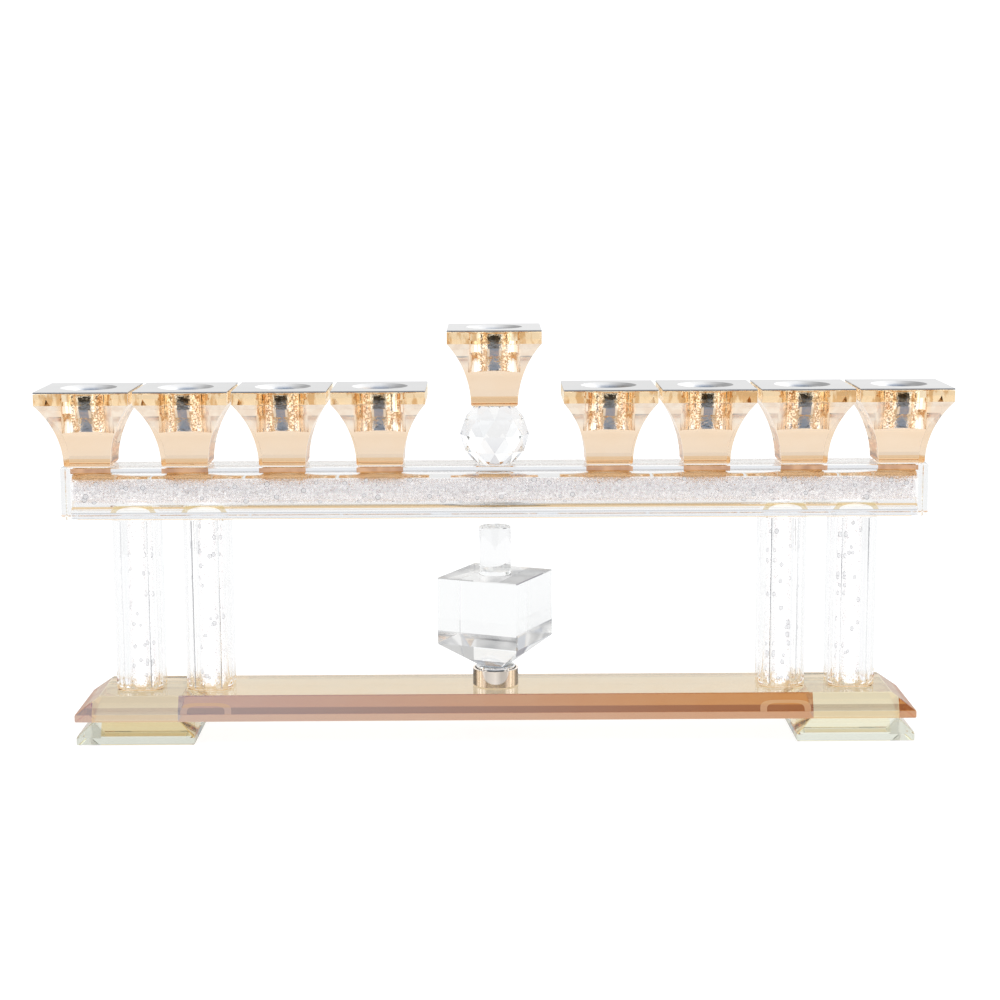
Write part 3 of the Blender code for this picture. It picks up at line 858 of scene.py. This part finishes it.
def insert_mesh():
    """Square plate, top at z = 0, with a drawn socket whose lip rolls over into the plate."""
    plate = block("insert", 2 * PLATE_HALF, 2 * PLATE_HALF, -PLATE_THICKNESS, 0.0)
    plate = chamfered(plate, FINE_EDGE, lambda way, middle: middle.z > -1e-5 or abs(way.z) > 0.9)

    def profile(offset, start_z, floor_z):
        bend = SOCKET_RIM - SOCKET_RADIUS
        lip = arc(SOCKET_RIM, -bend, bend - offset, 90, 180, 10)
        if offset == 0.0:       # the hollow's lip starts a little down, which leaves an edge round the hole
            lip = arc(SOCKET_RIM, -bend, bend, 118, 180, 8)
        start = [(0.0, start_z), (SOCKET_RIM, start_z)]
        return start + lip + [(SOCKET_RADIUS + offset, floor_z), (0.0, floor_z)]

    below = -SOCKET_DEPTH - PLATE_THICKNESS
    outside = turned("socket", profile(PLATE_THICKNESS, -PLATE_THICKNESS / 2, below), 96)
    inside = turned("hollow", profile(0.0, 0.001, -SOCKET_DEPTH), 96)
    mesh = smooth(combined(combined(plate, outside, "UNION"), inside, "DIFFERENCE"), 35.0)
    for face in mesh.polygons:
        middle = face.center
        reach = math.hypot(middle.x, middle.y)
        inward = -(face.normal.x * middle.x + face.normal.y * middle.y) / max(reach, 1e-6)
        if inward > 0.05 and reach < SOCKET_RIM or face.normal.z > 0.9 and middle.z < -SOCKET_DEPTH / 2:
            face.material_index = 1
        elif middle.z < -PLATE_THICKNESS:
            face.material_index = 2
        elif abs(face.normal.z) < 0.3:
            face.material_index = 3
    return mesh


def column_mesh():
    outside = block("column", 2 * COLUMN_HALF, 2 * COLUMN_HALF, BASE_TOP + HALF_GAP, COLUMN_TOP - HALF_GAP)
    outside = chamfered(outside, COLUMN_CORNER, lambda way, middle: abs(way.z) > 0.9)
    outside = ground(outside, GROUND_EDGE, 60)
    return smooth(combined(outside, cylinder("bore", COLUMN_BORE, 0.0, 0.2, 96), "DIFFERENCE"))


def bar_mesh():
    length = 2 * (BAR_END - HALF_GAP)
    bar = block("bar", length, 2 * BEAM_HALF_DEPTH, COLUMN_TOP + HALF_GAP, BEAM_TOP - HALF_GAP)
    bar = chamfered(bar, GROUND_EDGE, lambda way, middle: abs(way.x) > 0.9)
    bore = cylinder("bore", BEAM_BORE, -0.2, 0.2, 128)
    bore.transform(Matrix.Translation((0.0, 0.0, BEAM_MIDDLE)) @ Matrix.Rotation(math.pi / 2, 4, "Y"))
    return smooth(combined(bar, bore, "DIFFERENCE"))


def stem_mesh():
    profile = [
        (0.0, STEM_TOP),
        (STEM_RADIUS - GROUND_EDGE, STEM_TOP),
        (STEM_RADIUS, STEM_TOP - GROUND_EDGE),
        (STEM_RADIUS, DREIDEL_TOP + GAP),
        (0.0, DREIDEL_TOP + GAP),
    ]
    return smooth(turned("stem", profile, 96))


def housing_mesh():
    foot = BASE_TOP + HALF_GAP
    hole = SPINDLE_RADIUS + GAP
    profile = [
        (SWIVEL_RADIUS - FINE_EDGE, SWIVEL_RIM_Z),
        (SWIVEL_RADIUS, SWIVEL_RIM_Z - FINE_EDGE),
        (SWIVEL_RADIUS, foot + FINE_EDGE),
        (SWIVEL_RADIUS - FINE_EDGE, foot),
        (hole, foot),
        (hole, SWIVEL_FLOOR),
        (SWIVEL_INNER, SWIVEL_FLOOR),
        (SWIVEL_INNER, SWIVEL_RIM_Z),
    ]
    return smooth(turned("housing", profile, 96, ring=True))


def rotor_mesh():
    profile = [
        (0.0, ROTOR_TOP),
        (ROTOR_RADIUS - GROUND_EDGE, ROTOR_TOP),
        (ROTOR_RADIUS, ROTOR_TOP - GROUND_EDGE),
        (ROTOR_RADIUS, ROTOR_UNDERSIDE),
        (SPINDLE_RADIUS, ROTOR_UNDERSIDE),
        (SPINDLE_RADIUS, SPINDLE_END),
        (0.0, SPINDLE_END),
    ]
    return smooth(turned("rotor", profile, 96))


# --- bead fills

def arrays_of(bm):
    """Vertices and triangles of a bmesh, which is freed."""
    bm.verts.index_update()
    vertices = np.array([vert.co for vert in bm.verts])
    faces = np.array([[vert.index for vert in face.verts] for face in bm.faces])
    bm.free()
    return vertices, faces


def grain_shapes(rng, count):
    """Irregular cut grains: hulls of a few points on a squashed ball of radius 1."""
    shapes = []
    for _ in range(count):
        points = rng.normal(size=(9, 3))
        points /= np.linalg.norm(points, axis=1)[:, None]
        points *= np.array((1.0, 0.85, 0.7))
        bm = bmesh.new()
        for point in points:
            bm.verts.new(point)
        hull = bmesh.ops.convex_hull(bm, input=bm.verts)
        bmesh.ops.delete(bm, geom=hull["geom_interior"], context="VERTS")
        shapes.append(arrays_of(bm))
    return shapes


def ball_shape():
    bm = bmesh.new()
    bmesh.ops.create_icosphere(bm, subdivisions=2, radius=1.0)
    return arrays_of(bm)


def turned_at_random(rng, count):
    """Random rotation matrices, from unit quaternions."""
    q = rng.normal(size=(count, 4))
    q /= np.linalg.norm(q, axis=1)[:, None]
    w, x, y, z = q.T
    rows = [
        [1 - 2 * (y * y + z * z), 2 * (x * y - w * z), 2 * (x * z + w * y)],
        [2 * (x * y + w * z), 1 - 2 * (x * x + z * z), 2 * (y * z - w * x)],
        [2 * (x * z - w * y), 2 * (y * z + w * x), 1 - 2 * (x * x + y * y)],
    ]
    return np.array(rows).transpose(2, 0, 1)


def shell_points(rng, radius, low, high, pitch):
    """Jittered points (x along the bore, angle) over a cylinder, about one pitch apart."""
    around = max(6, int(2 * math.pi * radius / pitch))
    along = max(2, int((high - low) / pitch))
    points = []
    for i in range(along):
        for j in range(around):
            x = low + (high - low) * (i + 0.5 + rng.uniform(-0.35, 0.35)) / along
            angle = 2 * math.pi * (j + 0.5 * (i % 2) + rng.uniform(-0.35, 0.35)) / around
            points.append((x, radius * math.cos(angle), radius * math.sin(angle)))
    return np.array(points)


def scattered(shapes, places, sizes, rng):
    """One mesh's vertices and faces: a copy of one of the shapes at each place."""
    vertices = []
    faces = []
    total = 0
    spins = turned_at_random(rng, len(places))
    picks = rng.integers(len(shapes), size=len(places))
    for number, (shape, ring) in enumerate(shapes):
        chosen = np.flatnonzero(picks == number)
        if len(chosen) == 0:
            continue
        moved = np.einsum("nij,kj->nki", spins[chosen], shape) * sizes[chosen][:, None, None]
        moved += places[chosen][:, None, :]
        starts = total + np.arange(len(chosen)) * len(shape)
        faces.append((ring[None, :, :] + starts[:, None, None]).reshape(-1, 3))
        vertices.append(moved.reshape(-1, 3))
        total += len(chosen) * len(shape)
    return np.concatenate(vertices), np.concatenate(faces)


def fill_mesh(name, radius, low, high, bubbles, seed):
    """Bead fill along X: a cloudy core, two layers of cut grains and some bubbles, all inside radius."""
    rng = np.random.default_rng(seed)
    shapes = grain_shapes(rng, 14)
    spots = np.empty((bubbles, 3))
    size = rng.uniform(0.0008, 0.0013, bubbles)
    angle = rng.uniform(0.0, 2 * math.pi, bubbles)
    spots[:, 0] = rng.uniform(low + 0.002, high - 0.002, bubbles)
    spots[:, 1] = (radius - size) * np.cos(angle)
    spots[:, 2] = (radius - size) * np.sin(angle)
    layers = []
    for depth, pitch in ((GRAIN * 1.05, 0.00150), (GRAIN * 2.2, 0.00165)):
        places = shell_points(rng, radius - depth, low + GRAIN, high - GRAIN, pitch)
        apart = np.linalg.norm(places[:, None, :] - spots[None, :, :], axis=2) - size
        places = places[apart.min(axis=1) > 0.4 * GRAIN]
        sizes = rng.uniform(0.62, 1.0, len(places)) * GRAIN
        layers.append(scattered(shapes, places, sizes, rng))
    layers.append(scattered([ball_shape()], spots, size, rng))
    core = cylinder(name + "_core", radius - 2.6 * GRAIN, low, high, 48)
    core.transform(Matrix.Rotation(math.pi / 2, 4, "Y"))
    vertices = [np.array([vert.co for vert in core.vertices])]
    faces = [list(face.vertices) for face in core.polygons]
    core_faces = len(faces)
    total = len(vertices[0])
    for points, triangles in layers:
        vertices.append(points)
        faces += (triangles + total).tolist()
        total += len(points)
    mesh = bpy.data.meshes.new(name)
    mesh.from_pydata(np.concatenate(vertices).tolist(), [], faces)
    first_bubble = len(faces) - len(layers[-1][1])
    indices = np.ones(len(mesh.polygons), np.int32)
    indices[:core_faces] = 0
    indices[first_bubble:] = 2
    mesh.polygons.foreach_set("material_index", indices)
    soft = np.zeros(len(mesh.polygons), bool)
    soft[first_bubble:] = True
    mesh.polygons.foreach_set("use_smooth", soft)
    return mesh


def add_fill(node, mesh, transform, finishes):
    mesh.transform(transform)
    set_finishes(mesh, finishes)
    show(node + "_grains", mesh, node)


# --- pieces

def add_cups():
    cup = cup_mesh()
    insert = insert_mesh()
    row = [-x for x in reversed(CUP_X)] + list(CUP_X)
    spots = [(str(number), x, BEAM_TOP, amber_cup) for number, x in enumerate(row, start=1)]
    spots.append(("shamash", 0.0, SHAMASH_FOOT, amber_shamash))
    for label, x, foot_z, finish in spots:
        place(f"cup_{label}_crystal", cup, (finish, cream_edge_glow), f"cup_{label}",
              (x, 0.0, foot_z))
        place(f"insert_{label}_plated", insert, (chrome, satin, liner, plate_edge), f"candle_insert_{label}",
              (x, 0.0, foot_z + CUP_HEIGHT))


def add_columns():
    column = column_mesh()
    upright = Matrix.Rotation(-math.pi / 2, 4, "Y")
    for number, x in enumerate(COLUMN_X, start=1):
        node = f"column_{number}"
        place(node + "_crystal", column, (clear_column,), node, (x, 0.0, 0.0))
        fill = fill_mesh(f"column_fill_{number}", COLUMN_FILL, BASE_TOP + GAP, COLUMN_TOP - GAP, 36,
                         SEED + number)
        add_fill(f"column_beads_{number}", fill, Matrix.Translation((x, 0.0, 0.0)) @ upright, column_finishes)


def add_beam():
    place("beam_bar_crystal", bar_mesh(), (clear_bar,), "beam_bar")
    fill = fill_mesh("beam_fill", BEAM_BORE - FINE_EDGE, -BAR_END + GAP, BAR_END - GAP, 110, SEED)
    add_fill("beam_beads", fill, Matrix.Translation((0.0, 0.0, BEAM_MIDDLE)), beam_finishes)


def add_dreidel_parts():
    place("dreidel_stem_crystal", stem_mesh(), (clear_dreidel,), "dreidel_stem",
          body="dreidel")
    place("swivel_rotor_plated", rotor_mesh(), (chrome,), "swivel_rotor", body="dreidel")
    place("swivel_housing_plated", housing_mesh(), (champagne,), "swivel_housing")


def finish_cad_pieces(finishes):
    """Gives each CAD node that stays on show its finished material."""
    for name, finish in finishes.items():
        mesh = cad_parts[name].data
        mesh.materials.clear()
        mesh.materials.append(finish)


# --- stage

def add_floor():
    """Pale table top that ends a little way in front of the camera."""
    mesh = bpy.data.meshes.new("floor")
    corners = [(FLOOR_HALF * x, FLOOR_HALF * y, 0.0) for x, y in ((-1, -1), (1, -1), (1, 1), (-1, 1))]
    mesh.from_pydata(corners, [], [(0, 1, 2, 3)])
    graph = new_graph("studio_floor")
    seen = graph.term(graph.node("ShaderNodeLightPath").outputs["Is Camera Ray"])
    table = graph.glowing((0.36, 0.36, 0.36), WHITE, seen.smooth(0.0, 1.0, 0.64, 0.86))
    ahead = graph.terms(graph.node("ShaderNodeTexCoord").outputs["Camera"])[2]
    nothing = graph.node("ShaderNodeBsdfTransparent").outputs[0]
    mesh.materials.append(graph.finish(graph.mix_shader(ahead < TABLE_EDGE, table, nothing)))
    floor = linked("floor", mesh)
    floor.location = (0.0, 0.0, -0.0002)


def add_world():
    """White studio that stays round the camera: darker behind it, with upright softboxes to the sides."""
    world = bpy.data.worlds.new("studio")
    bpy.context.scene.world = world
    graph = Graph(world)
    x, y, z = graph.terms(graph.node("ShaderNodeTexCoord").outputs["Generated"])
    view = graph.node("ShaderNodeVectorTransform", {"Vector": (0.0, 0.0, 1.0)}, vector_type="VECTOR",
                      convert_from="CAMERA", convert_to="WORLD")
    ahead_x, ahead_y, _ = graph.terms(view.outputs[0])
    ahead = (ahead_x * ahead_x + ahead_y * ahead_y).apply("SQRT").larger(0.001)
    length = (x * x + y * y).apply("SQRT").larger(0.001)
    front = (x * ahead_x + y * ahead_y) * -1.0 / (length * ahead)
    side = (x * ahead_y - y * ahead_x) / ahead
    dark = front.smooth(0.60, 0.70) * z.smooth(0.60, 0.95, 1.0, 0.0)
    backdrop = abs(side).smooth(0.05, 0.55, 1.07, 1.24) * side.smooth(-1.0, 1.0, 0.96, 1.04)
    ceiling = z.smooth(0.35, 0.85, 1.0, 0.82)
    side_boxes = front.smooth(-0.25, -0.15) * front.smooth(0.15, 0.25, 1.0, 0.0) * 1.1
    front_boxes = front.smooth(0.38, 0.44) * front.smooth(0.54, 0.60, 1.0, 0.0) * 0.7
    boxes = (side_boxes + front_boxes) * z.smooth(0.5, 0.65, 1.0, 0.0)
    shadow = z.smooth(0.10, 0.35, 0.03, 0.45)
    level = (backdrop * ceiling + boxes) * (dark * -1.0 + 1.0) + dark * shadow
    seen = graph.term(graph.node("ShaderNodeLightPath").outputs["Is Camera Ray"])
    strength = level.larger(seen * 1.06)
    blue = graph.mix(z.smooth(0.05, 0.30), WHITE, (0.52, 0.70, 1.0))
    tone = graph.mix(dark, WHITE, blue)
    background = graph.node("ShaderNodeBackground", {"Color": tone, "Strength": strength})
    graph.finish(background.outputs[0], "ShaderNodeOutputWorld")


def add_camera():
    """In front of the row, a little above the cups, looking slightly down."""
    turn, pitch, roll = (math.radians(angle) for angle in (CAMERA_TURN, CAMERA_PITCH, CAMERA_ROLL))
    level = math.cos(pitch)
    forward = Vector((math.sin(turn) * level, math.cos(turn) * level, -math.sin(pitch)))
    right = Vector((math.cos(turn), -math.sin(turn), 0.0))
    up = right.cross(forward)
    rolled_right = right * math.cos(roll) + up * math.sin(roll)
    rolled_up = up * math.cos(roll) - right * math.sin(roll)
    data = bpy.data.cameras.new("camera")
    data.sensor_width = 36.0
    data.lens = CAMERA_LENS
    camera = linked("camera", data)
    axes = Matrix((rolled_right, rolled_up, -forward)).transposed()
    camera.matrix_world = Matrix.Translation(CAMERA_PLACE) @ axes.to_4x4()
    bpy.context.scene.camera = camera


def set_look():
    scene = bpy.context.scene
    scene.view_settings.view_transform = "Standard"
    cycles = scene.cycles
    cycles.max_bounces = 24
    cycles.transmission_bounces = 24
    cycles.glossy_bounces = 16
    cycles.diffuse_bounces = 3
    cycles.transparent_max_bounces = 16
    cycles.caustics_refractive = True
    cycles.caustics_reflective = True
    cycles.use_denoising = True


amber_base = glass("amber_base", BASE_TINT, glued=base_glued, veil=base_sheen,
                   entering=lambda graph, spot: BASE_FACE_TINT)
amber_cup = glass("amber_cup", CUP_TINT, glued=cup_glued, entering=cup_faces(BEAM_TOP),
                  leaving=foot_band(BEAM_TOP, CUP_BAND_HEIGHT), veil=cup_bloom(BEAM_TOP))
amber_shamash = glass("amber_shamash", CUP_TINT, glued=shamash_glued, entering=cup_faces(SHAMASH_FOOT),
                      leaving=foot_band(SHAMASH_FOOT, SHAMASH_BAND_HEIGHT), veil=cup_bloom(SHAMASH_FOOT))
clear_foot = glass("clear_foot", FOOT_TINT, glued=foot_glued, entering=foot_gold_reflection)
clear_column = glass("clear_column", CLEAR_TINT, glued=lambda graph, spot: spot.nz > 0.95, veil=column_reflections,
                     deepest=5, last_light=(0.98, 0.98, 0.98))
clear_bar = glass("clear_bar", CLEAR_TINT, glued=bar_glued, leaving=bore_gold_reflection, veil=bar_lines)
clear_cap = glass("clear_cap", CLEAR_TINT, glued=cap_glued)
clear_ball = glass("clear_ball", CLEAR_TINT, glued=lambda graph, spot: spot.nz > 0.97, veil=ball_facet_reflections)
clear_dreidel = glass("clear_dreidel", CLEAR_TINT, glued=dreidel_glued, veil=dreidel_greys,
                      inner=dreidel_inside)
chrome = metal("chrome", (0.76, 0.765, 0.77), (0.71, 0.715, 0.72), 0.02, 0.03, grazing=0.79)
satin = metal("satin_chrome", WHITE, (0.94, 0.94, 0.95), 0.42, 0.08,
              shades=((-1.0, 0.26), (-0.5, 0.38), (0.0, 0.96), (0.5, 1.0)))
liner = metal("liner_chrome", (0.92, 0.92, 0.92), (0.82, 0.82, 0.82), 0.02, 0.03, dents=0.4, sparkle=0.85)
plate_edge = metal("plate_edge", (0.50, 0.50, 0.51), (0.40, 0.40, 0.42), 0.30, 0.10, metallic=0.4)
champagne = metal("champagne", (0.95, 0.86, 0.77), (0.87, 0.76, 0.65), 0.08, 0.06,
                  shades=((-1.0, 0.12), (-0.86, 0.25), (-0.78, 1.0), (-0.55, 1.0), (-0.42, 0.70), (0.0, 0.92),
                          (0.25, 0.62), (0.48, 0.66), (0.58, 1.0), (0.80, 1.0), (0.88, 0.35), (1.0, 0.15)))
steel = metal("steel", (0.66, 0.67, 0.69), (0.55, 0.56, 0.58), 0.15)
brass = metal("brass", (0.78, 0.62, 0.34), (0.62, 0.47, 0.24), 0.22)
cream_edge_glow = ground_edge("cream_edge_glow", (1.0, 0.96, 0.90))
beam_finishes = (bead_core("beam_core", (1.0, 0.98, 0.97), (0.78, 0.75, 0.75), 0.68),
                 bead_glass("beam_grains", (0.98, 0.95, 0.94)),
                 bubble("beam_bubbles", (0.86, 0.85, 0.86), (0.22, 0.21, 0.24)))
column_finishes = (bead_core("column_core", WHITE, (0.90, 0.90, 0.90), 1.0),
                   bead_glass("column_grains", (1.1, 1.1, 1.1)),
                   bubble("column_bubbles", (0.98, 0.98, 0.99), (0.34, 0.33, 0.37)))

add_cups()
add_columns()
add_beam()
add_dreidel_parts()
finish_cad_pieces({
    "base_slab": amber_base,
    "foot_left": clear_foot,
    "foot_right": clear_foot,
    "beam_cap_left": clear_cap,
    "beam_cap_right": clear_cap,
    "shamash_ball": clear_ball,
    "dreidel_body": clear_dreidel,
    "ball_cage": brass,
    **{f"bearing_ball_{number}": steel for number in range(1, 9)},
})
add_floor()
add_world()
add_camera()
set_look()
